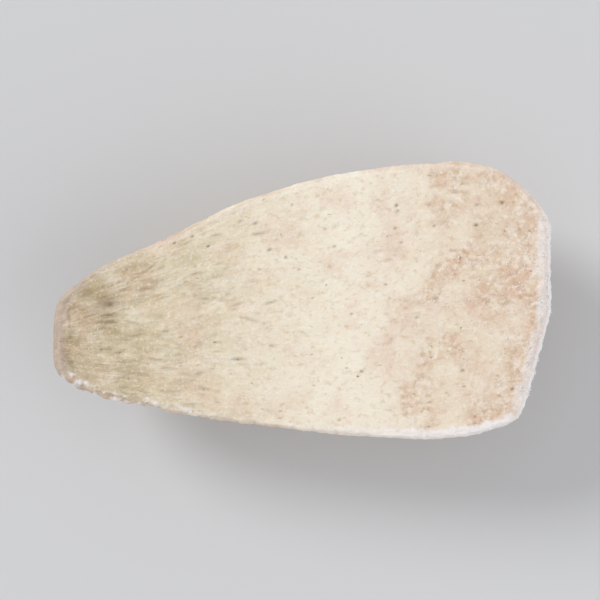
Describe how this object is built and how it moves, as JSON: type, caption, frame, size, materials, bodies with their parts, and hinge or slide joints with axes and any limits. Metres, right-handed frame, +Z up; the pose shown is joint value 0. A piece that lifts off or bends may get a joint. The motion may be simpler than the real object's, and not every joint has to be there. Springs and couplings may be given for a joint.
{
  "type": "peeled taro root half",
  "caption": "Peeled taro corm, split lengthwise and trimmed at both ends, lying on its rounded back with its flat cut face up.",
  "frame": {"origin": "under the middle of the bounding box, on the surface that the half rests on", "axes": "+X from the narrow root end to the broad crown end, +Y across the cut face, +Z up, out of the cut face"},
  "size_m": [0.1382, 0.0764, 0.0344],
  "materials": {
    "frozen_taro_flesh": "matte, starchy and lightly frosted"
  },
  "bodies": {
    "root": {"taro_half": "frozen_taro_flesh"}
  },
  "joints": []
}
